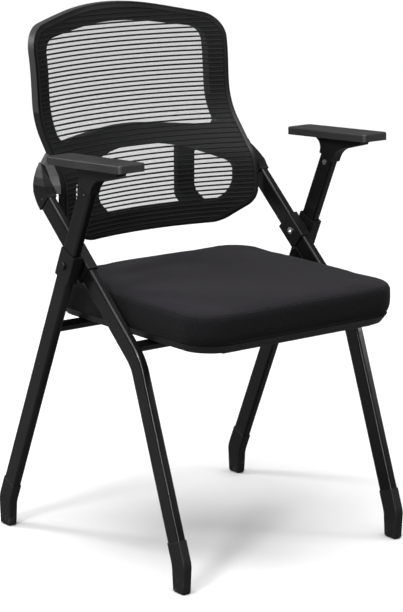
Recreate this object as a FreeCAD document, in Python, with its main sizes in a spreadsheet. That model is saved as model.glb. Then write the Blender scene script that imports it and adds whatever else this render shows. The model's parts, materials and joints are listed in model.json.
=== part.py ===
import FreeCAD, Part
import math
import os
import Sketcher

# Folding chair with arms and a mesh back, at its real size in millimetres.
# +Z is up and the seat faces -Y, so the sitter's left hand is at +X.
# The origin is on the floor, under the middle of the chair.
# Two pairs of flat-oval tubes cross at a pivot on each side: the front pair rises from
# the front feet, bends at the knee and carries the back; the rear pair runs straight
# from the rear feet to the arm pads. The seat hinges on the rear cross bar and rests on
# the front one.

SIZES = {
    # Where the tubes cross, and how they rise from the horizontal, in degrees.
    "pivot_back": 29.0,
    "pivot_height": 488.0,
    "post_rise": 41.7,
    "front_leg_rise": 69.9,
    "rear_leg_rise": 66.46,
    "knee_run": 204.4,
    "knee_bend": 70.0,
    "front_track": 448.0,
    # The flat-oval tube.
    "tube_depth": 32.0,
    "tube_width": 15.0,
    "tube_wall": 1.8,
    "tube_round": 4.0,
    "post_end_run": 147.0,
    "arm_end_run": 145.0,
    "tube_end_height": 52.0,
    # The feet.
    "foot_bend_height": 46.0,
    "foot_top_height": 82.0,
    "foot_wall": 0.9,
    "foot_toe": 13.6,
    "foot_round": 3.0,
    "foot_sole_round": 5.0,
    "socket_play": 0.1,
    # The cross bars.
    "bar_radius": 9.0,
    "bar_wall": 1.6,
    "front_bar_run": 30.0,
    "rear_bar_run": 123.3,
    # The pivot: a sleeve on each tube, a washer between them, a bolt and its nut.
    "sleeve_wall": 2.5,
    "sleeve_lug": 4.2,
    "sleeve_reach": 25.0,
    "sleeve_round": 2.0,
    "bolt_radius": 4.0,
    "bolt_play": 0.08,
    "bolt_head_radius": 6.0,
    "bolt_head_height": 1.6,
    "bolt_key_radius": 2.6,
    "bolt_key_depth": 1.0,
    "nut_radius": 6.5,
    "nut_height": 4.0,
    "washer_radius": 13.0,
    "washer_play": 0.15,
    "washer_thickness": 6.2,
    # The arms.
    "spigot_length": 30.0,
    "bracket_width": 19.0,
    "bracket_lip": 1.0,
    "bracket_front": 92.0,
    "bracket_rear": 31.0,
    "bracket_tip": 9.0,
    "bracket_bend": 34.0,
    "pad_height": 35.5,
    "pad_pitch": 3.1,
    "pad_front": 120.0,
    "pad_rear": 84.0,
    "pad_width": 53.0,
    "pad_thickness": 13.0,
    "pad_corner": 9.0,
    "pad_edge": 2.5,
    "pad_screw_gap": 42.0,
    # The back, whose front face bows by one arc across and follows a lumbar curve up.
    "back_side_gap": 11.5,
    "back_waist": 4.0,
    "back_shoulder_draw": 2.5,
    "back_bottom": 496.5,
    "back_top": 877.0,
    "back_top_drop": 42.0,
    "back_top_bend": 500.0,
    "back_top_corner": 45.0,
    "back_low_corner": 34.0,
    "back_low_bend": 70.0,
    "back_low_rise": 36.0,
    "back_low_run": 64.0,
    "back_bow": 480.0,
    "back_rim": 16.0,
    "lumbar_front": 106.0,
    "lumbar_height": 604.0,
    "lumbar_bend": 60.0,
    "shoulder_back": 181.0,
    "shoulder_height": 696.0,
    "shoulder_bend": 110.0,
    "head_back": 188.0,
    "head_height": 800.0,
    "head_bend": 300.0,
    "crest_back": 214.0,
    "crest_height": 892.0,
    # The openings in the back frame, behind the mesh.
    "window_side_rim": 37.0,
    "window_top": 846.0,
    "window_top_drop": 20.0,
    "window_corner": 26.0,
    "window_base": 671.0,
    "window_base_drop": 12.0,
    "low_window_side_rim": 34.0,
    "low_window_top": 641.0,
    "low_window_drop": 42.6,
    "low_window_rise": 26.5,
    "low_window_bend": 340.0,
    "low_window_base": 534.5,
    "low_window_corner": 39.0,
    "strut_share": 0.4976,
    "strut_width": 36.0,
    "strut_depth": 12.0,
    "strut_bow": 38.0,
    # The mesh and the strip that holds its edge.
    "mesh_thickness": 1.2,
    "mesh_inset": 8.0,
    "mesh_pitch": 7.8,
    "mesh_gap": 4.6,
    "strip_inset": 4.0,
    "strip_thickness": 2.0,
    # The sockets at the sides of the back frame.
    "ear_wall": 1.6,
    "ear_root": 6.0,
    "ear_web_reach": 16.0,
    "ear_run": 127.0,
    "ear_screw_run": 137.0,
    # The seat.
    "seat_side_gap": 1.4,
    "seat_front": 271.95,
    "seat_rear": 165.0,
    "seat_corner": 58.0,
    "pan_bottom": 384.5,
    "pan_floor": 3.5,
    "pan_wall": 3.0,
    "pan_inset": 14.0,
    "pan_flare": 8.0,
    "pan_lip": 3.6,
    "pan_lip_reach": 70.0,
    "board_thickness": 9.5,
    "board_play": 0.2,
    "cushion_height": 58.0,
    "cushion_tuck": 6.0,
    "crown_rise": 8.0,
    "hinge_place": 130.0,
    "hinge_width": 28.0,
    "hinge_wall": 4.0,
    "hinge_play": 0.08,
    "flange_reach": 30.0,
    "flange_thickness": 2.4,
    "rest_play": 0.3,
    "rest_half": 12.0,
    # The small screws.
    "screw_radius": 2.5,
    "screw_play": 0.1,
    "screw_head_radius": 4.5,
    "screw_head_height": 2.2,
    "screw_length": 14.0,
}

doc = FreeCAD.newDocument("Chair")
sheet = doc.addObject("Spreadsheet::Sheet", "Sizes")
for row, (alias, number) in enumerate(SIZES.items(), start=1):
    sheet.set("A%d" % row, alias)
    sheet.set("B%d" % row, str(number))
    sheet.setAlias("B%d" % row, alias)
doc.recompute()


class Size:
    # A number together with the sheet expression that gives it.
    def __init__(self, value, text):
        self.value = value
        self.text = text

    def __add__(self, other):
        other = as_size(other)
        return Size(self.value + other.value, "(%s + %s)" % (self.text, other.text))

    def __sub__(self, other):
        other = as_size(other)
        return Size(self.value - other.value, "(%s - %s)" % (self.text, other.text))

    def __mul__(self, other):
        other = as_size(other)
        return Size(self.value * other.value, "(%s * %s)" % (self.text, other.text))

    def __truediv__(self, other):
        other = as_size(other)
        return Size(self.value / other.value, "(%s / %s)" % (self.text, other.text))

    def __radd__(self, other):
        return as_size(other) + self

    def __rsub__(self, other):
        return as_size(other) - self

    def __rmul__(self, other):
        return as_size(other) * self

    def __neg__(self):
        return Size(-self.value, "(0 - %s)" % self.text)


def as_size(number):
    if isinstance(number, Size):
        return number
    if number < 0:
        return Size(float(number), "(0 - %r)" % abs(float(number)))
    return Size(float(number), repr(float(number)))


def sine(angle):
    return Size(math.sin(math.radians(angle.value)), "sin(%s)" % angle.text)


def cosine(angle):
    return Size(math.cos(math.radians(angle.value)), "cos(%s)" % angle.text)


def root(number):
    return Size(math.sqrt(number.value), "sqrt(%s)" % number.text)


def size(alias):
    return Size(float(sheet.get(alias)), "Sizes." + alias)


# Points and directions in a plane are pairs of sizes.
def shift(point, direction, run):
    return (point[0] + direction[0] * run, point[1] + direction[1] * run)


def normal(direction):
    # The side to the right of the direction of travel.
    return (direction[1], -direction[0])


def plane(body, role):
    for feature in body.Origin.OriginFeatures:
        if feature.Role == role:
            return feature
    raise ValueError(role)


def new_body(name):
    body = doc.addObject("PartDesign::Body", name)
    body.Label = name
    return body


def new_sketch(body, name, role, offset=None):
    sketch = body.newObject("Sketcher::SketchObject", name)
    sketch.AttachmentSupport = [(plane(body, role), "")]
    sketch.MapMode = "FlatFace"
    if offset is not None:
        sketch.AttachmentOffset = FreeCAD.Placement(FreeCAD.Vector(0, 0, offset.value), FreeCAD.Rotation())
        sketch.setExpression("AttachmentOffset.Base.z", offset.text)
    return sketch


def bind(sketch, kind, arguments, value):
    # A driving constraint whose number comes from the sheet.
    index = sketch.addConstraint(Sketcher.Constraint(kind, *arguments, value.value))
    sketch.setExpression("Constraints[%d]" % index, value.text)


def place_point(sketch, geometry, end, point):
    across, up = (as_size(value) for value in point)
    if across.value == 0.0:
        sketch.addConstraint(Sketcher.Constraint("PointOnObject", geometry, end, -2))
    else:
        bind(sketch, "DistanceX", (-1, 1, geometry, end), across)
    if up.value == 0.0:
        sketch.addConstraint(Sketcher.Constraint("PointOnObject", geometry, end, -1))
    else:
        bind(sketch, "DistanceY", (-1, 1, geometry, end), up)


def vector(point):
    across, up = (as_size(value).value for value in point)
    return FreeCAD.Vector(across, up, 0)


def draw_loop(sketch, corners, closed=True):
    # Straight lines between corners, each corner a point or a point with its radius.
    count = len(corners)
    spots = [vector(corner[:2]) for corner in corners]
    radii = [as_size(corner[2]) if len(corner) > 2 else None for corner in corners]
    arrive, leave, arcs = [], [], []
    for index in range(count):
        here = spots[index]
        if radii[index] is None:
            arrive.append(here)
            leave.append(here)
            arcs.append(None)
            continue
        before = (spots[index - 1] - here).normalize()
        after = (spots[(index + 1) % count] - here).normalize()
        half = before.getAngle(after) / 2
        radius = radii[index].value
        reach = radius / math.tan(half)
        centre = here + (before + after).normalize() * (radius / math.sin(half))
        arrive.append(here + before * reach)
        leave.append(here + after * reach)
        arcs.append((centre, radius, (before.cross(after)).z < 0))
    lines = []
    for index in range(count if closed else count - 1):
        start, end = leave[index], arrive[(index + 1) % count]
        lines.append(sketch.addGeometry(Part.LineSegment(start, end), False))
    for index in range(count):
        into = lines[index - 1] if closed or index > 0 else None
        out = lines[index] if closed or index < count - 1 else None
        if arcs[index] is None:
            if into is not None and out is not None:
                sketch.addConstraint(Sketcher.Constraint("Coincident", into, 2, out, 1))
            if out is not None:
                place_point(sketch, out, 1, corners[index][:2])
            else:
                place_point(sketch, into, 2, corners[index][:2])
            continue
        centre, radius, left_turn = arcs[index]
        first, last = arrive[index] - centre, leave[index] - centre
        if not left_turn:
            first, last = last, first
        begin = math.atan2(first.y, first.x)
        finish = math.atan2(last.y, last.x)
        circle = Part.Circle(centre, FreeCAD.Vector(0, 0, 1), radius)
        arc = sketch.addGeometry(Part.ArcOfCircle(circle, begin, finish), False)
        corner = sketch.addGeometry(Part.Point(spots[index]), True)
        place_point(sketch, corner, 1, corners[index][:2])
        sketch.addConstraint(Sketcher.Constraint("PointOnObject", corner, 1, into))
        sketch.addConstraint(Sketcher.Constraint("PointOnObject", corner, 1, out))
        near, far = (1, 2) if left_turn else (2, 1)
        sketch.addConstraint(Sketcher.Constraint("Tangent", into, 2, arc, near))
        sketch.addConstraint(Sketcher.Constraint("Tangent", arc, far, out, 1))
        bind(sketch, "Radius", (arc,), radii[index])


def draw_circle(sketch, centre, radius):
    circle = Part.Circle(vector(centre), FreeCAD.Vector(0, 0, 1), radius.value)
    ring = sketch.addGeometry(circle, False)
    place_point(sketch, ring, 3, centre)
    bind(sketch, "Radius", (ring,), radius)


def pad(body, sketch, length, name, symmetric=True, backwards=False):
    feature = body.newObject("PartDesign::Pad", name)
    feature.Profile = sketch
    feature.SideType = "Symmetric" if symmetric else "One side"
    feature.Reversed = backwards
    feature.Length = length.value
    feature.setExpression("Length", length.text)
    return feature


def pocket(body, sketch, length, name, symmetric=True, backwards=False):
    feature = body.newObject("PartDesign::Pocket", name)
    feature.Profile = sketch
    feature.SideType = "Symmetric" if symmetric else "One side"
    feature.Reversed = backwards
    feature.Length = length.value
    feature.setExpression("Length", length.text)
    return feature


def fillet(body, radius, name, wanted):
    # Rounds the edges that the test picks out.
    doc.recompute()
    tip = body.Tip
    edges = tip.Shape.Edges
    names = ["Edge%d" % (index + 1) for index, edge in enumerate(edges) if wanted(edge)]
    if not names:
        raise ValueError("no edge to round on " + body.Label)
    feature = body.newObject("PartDesign::Fillet", name)
    feature.Base = (tip, names)
    feature.Radius = radius.value
    feature.setExpression("Radius", radius.text)
    return feature


def mirrored(body, name):
    # The other side's piece, mirrored across the chair's middle plane.
    copy = doc.addObject("Part::Mirroring", name)
    copy.Label = name
    copy.Source = body
    copy.Base = FreeCAD.Vector(0, 0, 0)
    copy.Normal = FreeCAD.Vector(1, 0, 0)
    return copy


pieces = []


def keep(piece):
    pieces.append(piece)
    return piece


def keep_pair(body):
    # A piece of the sitter's left side, and its twin on the right.
    keep(body)
    keep(mirrored(body, body.Label.replace("_left", "_right")))


# Tube directions and the points where the tubes meet, in the side plane (Y, Z).
pivot = (size("pivot_back"), size("pivot_height"))
up_post = (cosine(size("post_rise")), sine(size("post_rise")))
up_front = (cosine(size("front_leg_rise")), sine(size("front_leg_rise")))
up_rear = (-cosine(size("rear_leg_rise")), sine(size("rear_leg_rise")))
plumb = (as_size(0.0), as_size(1.0))
knee = shift(pivot, up_post, -size("knee_run"))
front_bar = shift(knee, up_post, size("front_bar_run"))
rear_bar = shift(pivot, up_rear, -size("rear_bar_run"))
front_x = size("front_track") / 2
washer_room = size("washer_thickness") + 2 * size("washer_play")
rear_x = front_x + size("tube_width") + 2 * size("sleeve_wall") + washer_room
half_depth = size("tube_depth") / 2
half_tube = size("tube_width") / 2


def at_height(point, direction, height):
    return shift(point, direction, (height - point[1]) / direction[1])


def strip(start, lower, bend, upper, end, inner, outer, radius):
    # A band along two straight runs: inner and outer are its reaches to the right and
    # left of the middle line, and radius is the middle line's bend.
    first, second = normal(lower), normal(upper)
    spread = 1 + first[0] * second[0] + first[1] * second[1]
    miter = ((first[0] + second[0]) / spread, (first[1] + second[1]) / spread)
    return [
        shift(start, first, inner),
        shift(bend, miter, inner) + (radius - inner,),
        shift(end, second, inner),
        shift(end, second, -outer),
        shift(bend, miter, -outer) + (radius + outer,),
        shift(start, first, -outer),
    ]


def bar(start, end, direction, inner, outer):
    # A straight band, with its reaches to the right and left of the middle line.
    side = normal(direction)
    return [
        shift(start, side, inner),
        shift(end, side, inner),
        shift(end, side, -outer),
        shift(start, side, -outer),
    ]


def side_edges(middle, half, skipped_length):
    # The long edges on the two flat sides of a band that is this thick across X.
    def wanted(edge):
        box = edge.BoundBox
        if box.XLength > 0.01 or abs(abs(box.XMin - middle.value) - half.value) > 0.01:
            return False
        return abs(edge.Length - skipped_length.value) > 0.01
    return wanted


def pierce(body, centre, radius, name):
    # A round hole along X through a piece on the left side.
    sketch = new_sketch(body, name + "_sketch", "YZ_Plane")
    draw_circle(sketch, centre, radius)
    length = rear_x * 4
    pocket(body, sketch, length, name)


# The bent tube of the front leg and back post.
def front_leg():
    body = new_body("front_leg_left")
    foot = at_height(knee, up_front, size("tube_end_height"))
    top = shift(pivot, up_post, size("post_end_run"))
    outline = new_sketch(body, "leg_outline", "YZ_Plane", front_x)
    draw_loop(outline, strip(foot, up_front, knee, up_post, top, half_depth, half_depth, size("knee_bend")))
    pad(body, outline, size("tube_width"), "leg_solid")
    fillet(body, size("tube_round"), "leg_round", side_edges(front_x, half_tube, size("tube_depth")))
    inside = half_depth - size("tube_wall")
    bore = new_sketch(body, "leg_bore_outline", "YZ_Plane", front_x)
    below = shift(foot, up_front, -1 * size("tube_wall"))
    above = shift(top, up_post, size("tube_wall"))
    draw_loop(bore, strip(below, up_front, knee, up_post, above, inside, inside, size("knee_bend")))
    pocket(body, bore, size("tube_width") - 2 * size("tube_wall"), "leg_bore")
    pierce(body, pivot, size("bolt_radius") + size("bolt_play"), "pivot_hole")
    spot = shift(pivot, up_post, size("ear_screw_run"))
    pierce(body, spot, size("screw_radius") + size("screw_play"), "ear_screw_hole")
    keep_pair(body)


# The straight tube of the rear leg and arm post.
def rear_leg():
    body = new_body("rear_leg_left")
    foot = at_height(pivot, up_rear, size("tube_end_height"))
    top = shift(pivot, up_rear, size("arm_end_run"))
    outline = new_sketch(body, "leg_outline", "YZ_Plane", rear_x)
    draw_loop(outline, bar(foot, top, up_rear, half_depth, half_depth))
    pad(body, outline, size("tube_width"), "leg_solid")
    fillet(body, size("tube_round"), "leg_round", side_edges(rear_x, half_tube, size("tube_depth")))
    inside = half_depth - size("tube_wall")
    bore = new_sketch(body, "leg_bore_outline", "YZ_Plane", rear_x)
    below = shift(foot, up_rear, -1 * size("tube_wall"))
    above = shift(top, up_rear, size("tube_wall"))
    draw_loop(bore, bar(below, above, up_rear, inside, inside))
    pocket(body, bore, size("tube_width") - 2 * size("tube_wall"), "leg_bore")
    pierce(body, pivot, size("bolt_radius") + size("bolt_play"), "pivot_hole")
    spot = shift(pivot, up_rear, size("arm_end_run") - size("spigot_length") / 3)
    pierce(body, spot, size("screw_radius") + size("screw_play"), "arm_screw_hole")
    keep_pair(body)


# A moulded foot over the end of a leg, upright at the floor.
def foot(name, top_point, direction, middle):
    body = new_body(name)
    bend = at_height(top_point, direction, size("foot_bend_height"))
    top = at_height(top_point, direction, size("foot_top_height"))
    reach = half_depth + size("foot_wall")
    toe = size("foot_toe")
    outline = new_sketch(body, "foot_outline", "YZ_Plane", middle)
    side = normal(direction)
    spread = 1 + side[0]
    miter = ((side[0] + 1) / spread, side[1] / spread)
    draw_loop(outline, [
        (bend[0] + toe, 0),
        shift(bend, miter, reach) + (size("knee_bend") / 2,),
        shift(top, side, reach),
        shift(top, side, -reach),
        shift(bend, miter, -reach) + (size("knee_bend") / 2,),
        (bend[0] - toe, 0),
    ])
    width = size("tube_width") + 2 * size("foot_wall")
    pad(body, outline, width, "foot_solid")
    fillet(body, size("foot_round"), "foot_edges", side_edges(middle, width / 2, 2 * toe))
    fillet(body, size("foot_sole_round"), "sole_edges", lambda edge: edge.BoundBox.ZMax < 0.01)
    end = at_height(top_point, direction, size("tube_end_height"))
    above = shift(top, direction, size("foot_wall"))
    play = size("socket_play")
    socket = new_sketch(body, "socket_outline", "YZ_Plane", middle)
    draw_loop(socket, bar(end, above, direction, half_depth + play, half_depth + play))
    pocket(body, socket, size("tube_width") + 2 * play, "socket")
    keep_pair(body)


# A round cross bar between the inner faces of a pair of tubes.
def cross_bar(name, centre, track):
    body = new_body(name)
    length = track - size("tube_width")
    sketch = new_sketch(body, "bar_outline", "YZ_Plane")
    draw_circle(sketch, centre, size("bar_radius"))
    pad(body, sketch, length, "bar_solid")
    bore = new_sketch(body, "bar_bore_outline", "YZ_Plane")
    draw_circle(bore, centre, size("bar_radius") - size("bar_wall"))
    pocket(body, bore, length + 2, "bar_bore")
    keep(body)


# A moulded sleeve round a tube where the tubes cross.
def sleeve(name, direction, middle, lug_inner, lug_outer):
    body = new_body(name)
    low = shift(pivot, direction, -size("sleeve_reach"))
    high = shift(pivot, direction, size("sleeve_reach"))
    outline = new_sketch(body, "sleeve_outline", "YZ_Plane", middle)
    draw_loop(outline, bar(low, high, direction, half_depth + lug_inner, half_depth + lug_outer))
    width = size("tube_width") + 2 * size("sleeve_wall")
    pad(body, outline, width, "sleeve_solid")
    across = size("tube_depth") + lug_inner + lug_outer
    fillet(body, size("sleeve_round"), "sleeve_edges", side_edges(middle, width / 2, across))
    play = size("socket_play")
    under = shift(low, direction, -size("sleeve_wall"))
    over = shift(high, direction, size("sleeve_wall"))
    bore = new_sketch(body, "sleeve_bore_outline", "YZ_Plane", middle)
    draw_loop(bore, bar(under, over, direction, half_depth + play, half_depth + play))
    pocket(body, bore, size("tube_width") + 2 * play, "sleeve_bore")
    pierce(body, pivot, size("bolt_radius") + size("bolt_play"), "pivot_hole")
    keep_pair(body)


def disc(body, centre, radius, start, end, name):
    # A round stretch along X, from one place to another.
    sketch = new_sketch(body, name + "_sketch", "YZ_Plane", start)
    draw_circle(sketch, centre, radius)
    pad(body, sketch, end - start, name, symmetric=False)


# The bolt through both tubes, its nut outside and the washer between the sleeves.
def pivot_parts():
    inner_face = front_x - half_tube - size("sleeve_wall")
    outer_face = rear_x + half_tube + size("sleeve_wall")
    bolt = new_body("pivot_bolt_left")
    head_start = inner_face - size("bolt_head_height")
    disc(bolt, pivot, size("bolt_head_radius"), head_start, inner_face, "bolt_head")
    disc(bolt, pivot, size("bolt_radius"), inner_face, outer_face + size("nut_height") / 2, "bolt_shank")
    key = new_sketch(bolt, "bolt_key_sketch", "YZ_Plane", head_start + size("bolt_key_depth"))
    turns = [math.radians(60 * step) for step in range(6)]
    draw_loop(key, [
        shift(pivot, (as_size(math.cos(turn)), as_size(math.sin(turn))), size("bolt_key_radius"))
        for turn in turns
    ])
    pocket(bolt, key, size("bolt_key_depth") * 2, "bolt_key")
    keep_pair(bolt)
    nut = new_body("pivot_nut_left")
    disc(nut, pivot, size("nut_radius"), outer_face, outer_face + size("nut_height"), "nut_solid")
    pocket_sketch = new_sketch(nut, "nut_bore_sketch", "YZ_Plane", outer_face)
    draw_circle(pocket_sketch, pivot, size("bolt_radius") + size("bolt_play"))
    pocket(nut, pocket_sketch, size("nut_height") + size("bolt_play"), "nut_bore")
    top = outer_face + size("nut_height")
    fillet(nut, size("nut_height") / 4, "nut_edge", lambda edge: (
        edge.BoundBox.XLength < 0.01
        and abs(edge.BoundBox.XMin - top.value) < 0.01
        and edge.BoundBox.YLength > 1.9 * size("nut_radius").value
    ))
    keep_pair(nut)
    washer = new_body("pivot_washer_left")
    start = front_x + half_tube + size("sleeve_wall") + size("washer_play")
    end = rear_x - half_tube - size("sleeve_wall") - size("washer_play")
    disc(washer, pivot, size("washer_radius"), start, end, "washer_solid")
    pierce(washer, pivot, size("bolt_radius") + size("bolt_play"), "washer_bore")
    keep_pair(washer)


# The arm: a moulded bracket plugged into the post, a pad on it and their screws.
arm_seam = shift(pivot, up_rear, size("arm_end_run"))
pad_seat = shift(arm_seam, plumb, size("pad_height"))
pad_forward = (-cosine(size("pad_pitch")), sine(size("pad_pitch")))


def on_pad(run):
    # A point on the underside of the pad, measured forwards from above the post.
    return shift(pad_seat, pad_forward, run)


def arm_bracket():
    body = new_body("arm_bracket_left")
    outline = new_sketch(body, "bracket_outline", "YZ_Plane", rear_x)
    reach = half_depth + size("bracket_lip")
    side = normal(up_rear)
    front_low = shift(arm_seam, side, -reach)
    rear_low = shift(arm_seam, side, reach)
    nose = on_pad(size("bracket_front"))
    heel = on_pad(-size("bracket_rear"))
    chin = shift(nose, plumb, -size("bracket_tip"))
    draw_loop(outline, [
        rear_low,
        shift(rear_low, up_rear, size("pad_height") / 2) + (size("bracket_bend") / 2,),
        heel,
        nose,
        shift(chin, (as_size(1.0), as_size(0.0)), size("bracket_tip") / 2),
        shift(front_low, up_rear, size("pad_height") * 2 / 3) + (size("bracket_bend"),),
        front_low,
    ])
    pad(body, outline, size("bracket_width"), "bracket_solid")
    thin = half_depth - size("tube_wall") - size("socket_play")
    plug = new_sketch(body, "spigot_outline", "YZ_Plane", rear_x)
    draw_loop(plug, bar(shift(arm_seam, up_rear, -size("spigot_length")), arm_seam, up_rear, thin, thin))
    pad(body, plug, size("tube_width") - 2 * size("tube_wall") - 2 * size("socket_play"), "spigot")
    spot = shift(pivot, up_rear, size("arm_end_run") - size("spigot_length") / 3)
    pierce(body, spot, size("screw_radius") + size("screw_play"), "arm_screw_hole")
    for index, run in enumerate(pad_screw_runs()):
        hole = new_sketch(body, "pad_screw_hole_sketch_%d" % index, "XY_Plane", on_pad(run)[1])
        draw_circle(hole, (rear_x, on_pad(run)[0]), size("screw_radius") + size("screw_play"))
        pocket(body, hole, size("pad_height") * 2, "pad_screw_hole_%d" % index)
    keep_pair(body)


def pad_screw_runs():
    middle = size("bracket_front") * 0.62
    return (middle - size("pad_screw_gap") / 4, middle + size("pad_screw_gap") / 4)


def arm_pad():
    body = new_body("arm_pad_left")
    outline = new_sketch(body, "pad_outline", "YZ_Plane", rear_x)
    lift = (sine(size("pad_pitch")), cosine(size("pad_pitch")))
    rear, front = on_pad(-size("pad_rear")), on_pad(size("pad_front"))
    thick = size("pad_thickness")
    draw_loop(outline, [rear, shift(rear, lift, thick), shift(front, lift, thick), front])
    pad(body, outline, size("pad_width"), "pad_solid")
    fillet(body, size("pad_corner"), "pad_corners", lambda edge: (
        abs(edge.Length - thick.value) < 0.01 and edge.BoundBox.ZLength > 0.9 * thick.value
    ))

    def top_edge(edge):
        # The rim of the top face: every point of it stands a pad's thickness up.
        for vertex in edge.Vertexes:
            rise = (vertex.Point.y - rear[0].value) * lift[0].value + (vertex.Point.z - rear[1].value) * lift[1].value
            if abs(rise - thick.value) > 0.01:
                return False
        return True
    fillet(body, size("pad_edge"), "pad_top_edge", top_edge)
    for index, run in enumerate(pad_screw_runs()):
        depth = thick - size("pad_edge")
        hole = new_sketch(body, "screw_pilot_sketch_%d" % index, "XY_Plane", on_pad(run)[1])
        draw_circle(hole, (rear_x, on_pad(run)[0]), size("screw_radius") + size("screw_play"))
        pocket(body, hole, depth * 1.2, "screw_pilot_%d" % index)
    keep_pair(body)


def arm_screws():
    side = new_body("arm_screw_left")
    spot = shift(pivot, up_rear, size("arm_end_run") - size("spigot_length") / 3)
    face = rear_x - half_tube
    disc(side, spot, size("screw_head_radius"), face - size("screw_head_height") / 2, face, "head")
    disc(side, spot, size("screw_radius"), face, rear_x + half_tube - size("tube_wall"), "shank")
    keep_pair(side)


# The back frame: a swept panel cut to its outline, with sockets for the posts.
half_width = front_x - half_tube - size("back_side_gap")
bow_centre = -root(size("back_bow") * size("back_bow") - half_width * half_width)


def back_sweep(name, inner, outer):
    # A curved panel between two arcs about the same centre, swept up the lumbar curve.
    body = new_body(name)
    margin = half_width + 20
    section = new_sketch(body, name + "_section", "XY_Plane", size("back_bottom") - 12)
    start_y = size("lumbar_front")
    centre_y = start_y + bow_centre
    ends = []
    for radius in (inner, outer):
        drop = math.sqrt(radius.value ** 2 - margin.value ** 2)
        angle = math.atan2(drop, margin.value)
        circle = Part.Circle(FreeCAD.Vector(0, centre_y.value, 0), FreeCAD.Vector(0, 0, 1), radius.value)
        arc = section.addGeometry(Part.ArcOfCircle(circle, angle, math.pi - angle), False)
        section.addConstraint(Sketcher.Constraint("PointOnObject", arc, 3, -2))
        bind(section, "DistanceY", (-1, 1, arc, 3), centre_y)
        bind(section, "Radius", (arc,), radius)
        bind(section, "DistanceX", (-1, 1, arc, 1), margin)
        bind(section, "DistanceX", (-1, 1, arc, 2), -margin)
        ends.append((arc, circle.Center, drop))
    for end, side in ((1, 1), (2, -1)):
        points = [FreeCAD.Vector(side * margin.value, centre.y + drop, 0) for _, centre, drop in ends]
        line = section.addGeometry(Part.LineSegment(points[0], points[1]), False)
        section.addConstraint(Sketcher.Constraint("Coincident", line, 1, ends[0][0], end))
        section.addConstraint(Sketcher.Constraint("Coincident", line, 2, ends[1][0], end))
    path = new_sketch(body, name + "_path", "YZ_Plane")
    draw_loop(path, [
        (size("lumbar_front"), size("back_bottom") - 12),
        (size("lumbar_front"), size("lumbar_height"), size("lumbar_bend")),
        (size("shoulder_back"), size("shoulder_height"), size("shoulder_bend")),
        (size("head_back"), size("head_height"), size("head_bend")),
        (size("crest_back"), size("crest_height")),
    ], closed=False)
    pipe = body.newObject("PartDesign::AdditivePipe", name + "_pipe")
    pipe.Profile = section
    pipe.Spine = path
    pipe.Mode = "Fixed"
    return body


def back_outline(inset):
    # The outline of the back, drawn in by an inset.
    side = half_width - inset
    low = size("back_bottom") + inset
    high = size("back_top") - inset
    drop = size("back_top_drop")
    waist = side - size("back_waist")
    shoulder = side - size("back_shoulder_draw")
    waist_height = low + (high - low) * 0.65
    turn = side - size("back_low_run")
    rise = low + size("back_low_rise")
    low_corner = size("back_low_corner") - inset
    low_bend = size("back_low_bend") - inset
    top_corner = size("back_top_corner") - inset
    side_bend = half_width * 4
    return [
        (turn, low, low_bend),
        (side, rise, low_corner),
        (waist, waist_height, side_bend),
        (shoulder, high - drop * 3 / 4, top_corner),
        (0, high + drop / 4, size("back_top_bend")),
        (-shoulder, high - drop * 3 / 4, top_corner),
        (-waist, waist_height, side_bend),
        (-side, rise, low_corner),
        (-turn, low, low_bend),
    ]


def upper_window():
    side = (half_width - size("window_side_rim"))
    high, low = size("window_top"), size("window_base")
    drop = size("window_top_drop")
    base_drop = size("window_base_drop")
    return [
        (side, low - base_drop, size("window_corner") / 2),
        (side, high - drop, size("window_corner")),
        (0, high + drop / 4, size("back_top_bend")),
        (-side, high - drop, size("window_corner")),
        (-side, low - base_drop, size("window_corner") / 2),
        (0, low + base_drop / 4, size("back_top_bend")),
    ]


def lower_window():
    side = (half_width - size("low_window_side_rim"))
    high, low = size("low_window_top"), size("low_window_base")
    drop = size("low_window_drop")
    return [
        (side, low, size("low_window_corner")),
        (side, high - drop, size("low_window_corner") / 2),
        (0, high + size("low_window_rise"), size("low_window_bend")),
        (-side, high - drop, size("low_window_corner") / 2),
        (-side, low, size("low_window_corner")),
    ]


# How far in front of and behind the origin the cutting prisms of the back reach.
prism_depth = size("crest_back") * 3


def prism(name, loops):
    # The loops pushed through the back, front to rear.
    body = new_body(name)
    sketch = new_sketch(body, name + "_sketch", "XZ_Plane")
    for loop in loops:
        draw_loop(sketch, loop)
    pad(body, sketch, prism_depth, name + "_solid")
    return body


def combine(kind, name, base, tool):
    feature = doc.addObject("Part::" + kind, name)
    feature.Label = name
    if kind == "MultiFuse":
        feature.Shapes = [base] + list(tool)
    else:
        feature.Base = base
        feature.Tool = tool
    return feature


strut_place = half_width * size("strut_share")


def strut():
    # One of the two uprights that bow back behind the lumbar window.
    body = new_body("strut_left")
    front = size("lumbar_front")
    bow = bow_centre + root(size("back_bow") * size("back_bow") - strut_place * strut_place)
    face = front + bow
    rear = face + size("strut_bow")
    thick = size("strut_depth")
    low, high = size("low_window_base"), size("low_window_top")
    rim = size("back_rim")
    slope = (size("shoulder_back") - size("lumbar_front")) / (size("shoulder_height") - size("lumbar_height"))
    shoulder = face + slope * (high - size("lumbar_height"))
    outline = new_sketch(body, "strut_outline", "YZ_Plane", strut_place)
    draw_loop(outline, [
        (face + rim / 3, low - rim),
        (face + rim / 3, low, size("strut_depth") / 2),
        (rear, low + rim, size("strut_bow") / 2),
        (rear, high - rim * 2, size("strut_bow") / 2),
        (shoulder + rim / 3, high),
        (shoulder + rim, high + thick / 2),
        (rear + thick, high - rim, size("strut_bow") / 2),
        (rear + thick, low + rim / 2, size("strut_bow") / 2),
        (face + rim, low - rim),
    ])
    pad(body, outline, size("strut_width"), "strut_solid")
    return body


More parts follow.
